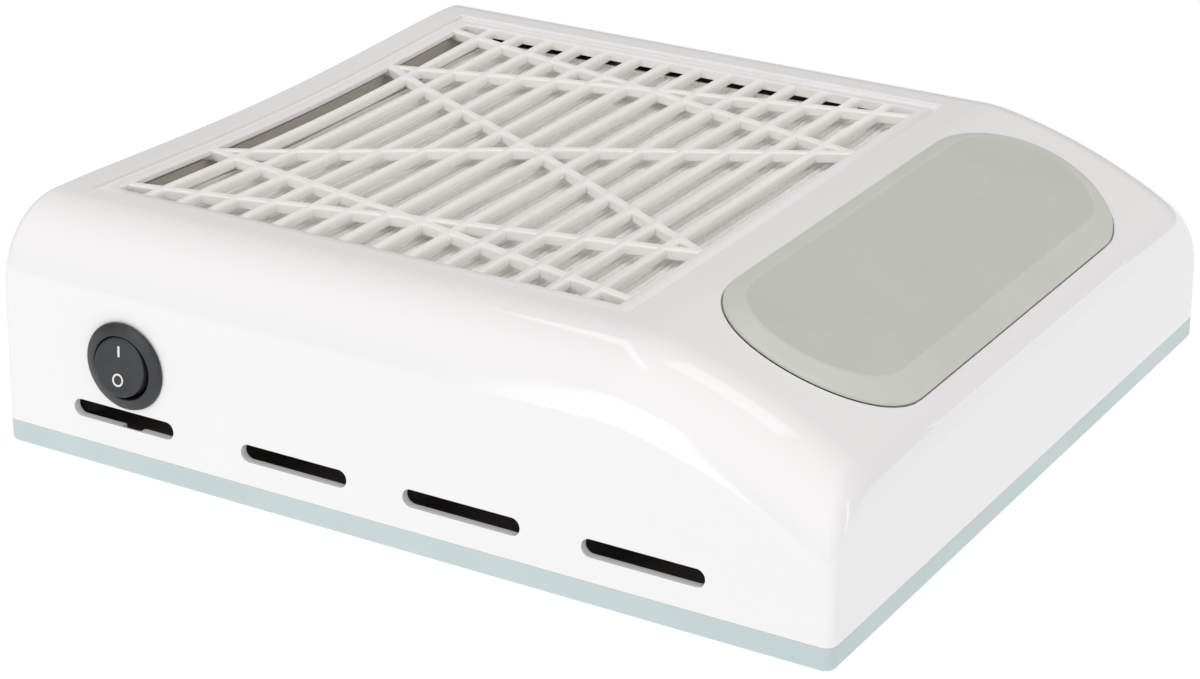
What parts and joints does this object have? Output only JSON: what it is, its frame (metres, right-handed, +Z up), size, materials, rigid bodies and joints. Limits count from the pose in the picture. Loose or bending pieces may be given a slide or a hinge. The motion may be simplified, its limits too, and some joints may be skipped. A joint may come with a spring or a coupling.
{
  "type": "nail dust collector",
  "caption": "Table-top nail dust collector: a glossy box with a sloping padded hand rest, a slatted grille over a lift-out pleated filter, and a suction fan below it.",
  "frame": {"origin": "centre of the body on the floor plane, under its rubber feet", "axes": "+X to the user's right when the hand rest faces the user, +Y from the hand rest to the back wall, +Z up"},
  "size_m": [0.2164, 0.2266, 0.063],
  "materials": {
    "white_gloss": "glossy moulded ABS",
    "white_satin": "satin moulded ABS",
    "blue_grey": "satin moulded ABS",
    "pad_grey": "soft matt polyurethane",
    "black_plastic": "moulded nylon",
    "grey_plastic": "moulded ABS",
    "filter_plastic": "moulded polypropylene",
    "paper": "pleated non-woven filter paper",
    "foam": "closed-cell foam",
    "steel": "zinc plated",
    "ferrite": "sintered ferrite",
    "brass": "turned brass",
    "copper": "enamelled copper wire",
    "circuit_board": "glass-fibre laminate",
    "foot_rubber": "matt black rubber",
    "lead_red": "PVC sleeve",
    "lead_black": "PVC sleeve"
  },
  "bodies": {
    "housing": {"base_plate": "blue_grey", "base_screw_back_left": "steel", "base_screw_back_right": "steel", "base_screw_front_left": "steel", "base_screw_front_right": "steel", "board_screw_left": "steel", "board_screw_right": "steel", "control_board": "circuit_board", "fan_bearing_lower": "brass", "fan_bearing_upper": "brass", "fan_guard": "grey_plastic", "fan_tray": "white_satin", "filter_seal": "foam", "foot_back_left": "foot_rubber", "foot_back_right": "foot_rubber", "foot_front_left": "foot_rubber", "foot_front_right": "foot_rubber", "hand_rest_pad": "pad_grey", "hand_rest_plate": "grey_plastic", "motor_board": "circuit_board", "motor_mount": "steel", "motor_screw_1": "steel", "motor_screw_2": "steel", "motor_screw_3": "steel", "power_socket": "black_plastic", "socket_nut": "steel", "stator_core": "steel", "stator_winding_lower": "copper", "stator_winding_upper": "copper", "switch_body": "black_plastic", "switch_terminal_1": "brass", "switch_terminal_2": "brass", "tray_screw_back_left": "steel", "tray_screw_back_right": "steel", "tray_screw_front_left": "steel", "tray_screw_front_right": "steel", "upper_housing": "white_gloss", "wire_ground": "lead_black", "wire_live": "lead_red", "wire_motor": "lead_red", "wire_socket": "lead_black"},
    "rotor": {"fan_impeller": "grey_plastic", "rotor_cup": "steel", "rotor_magnet": "ferrite", "fan_shaft": "steel"},
    "rocker": {"switch_rocker": "black_plastic"},
    "filter": {"filter_frame": "filter_plastic", "filter_media": "paper"},
    "grille": {"filter_grille": "white_satin"}
  },
  "joints": [
    {"name": "rocker_tip", "type": "hinge", "parent": "housing", "child": "rocker", "pos_m": [-0.10544, 0.0748, 0.0303], "axis": [0, -1, 0], "range_deg": [0, 16]},
    {"name": "fan_spin", "type": "hinge", "parent": "housing", "child": "rotor", "pos_m": [0, 0.0247, 0], "axis": [0, 0, 1], "continuous": true},
    {"name": "filter_lift", "type": "slide", "parent": "housing", "child": "filter", "axis": [0, 0, 1], "range_m": [0, 0.04]},
    {"name": "grille_lift", "type": "slide", "parent": "filter", "child": "grille", "axis": [0, 0, 1], "range_m": [0, 0.03]}
  ]
}
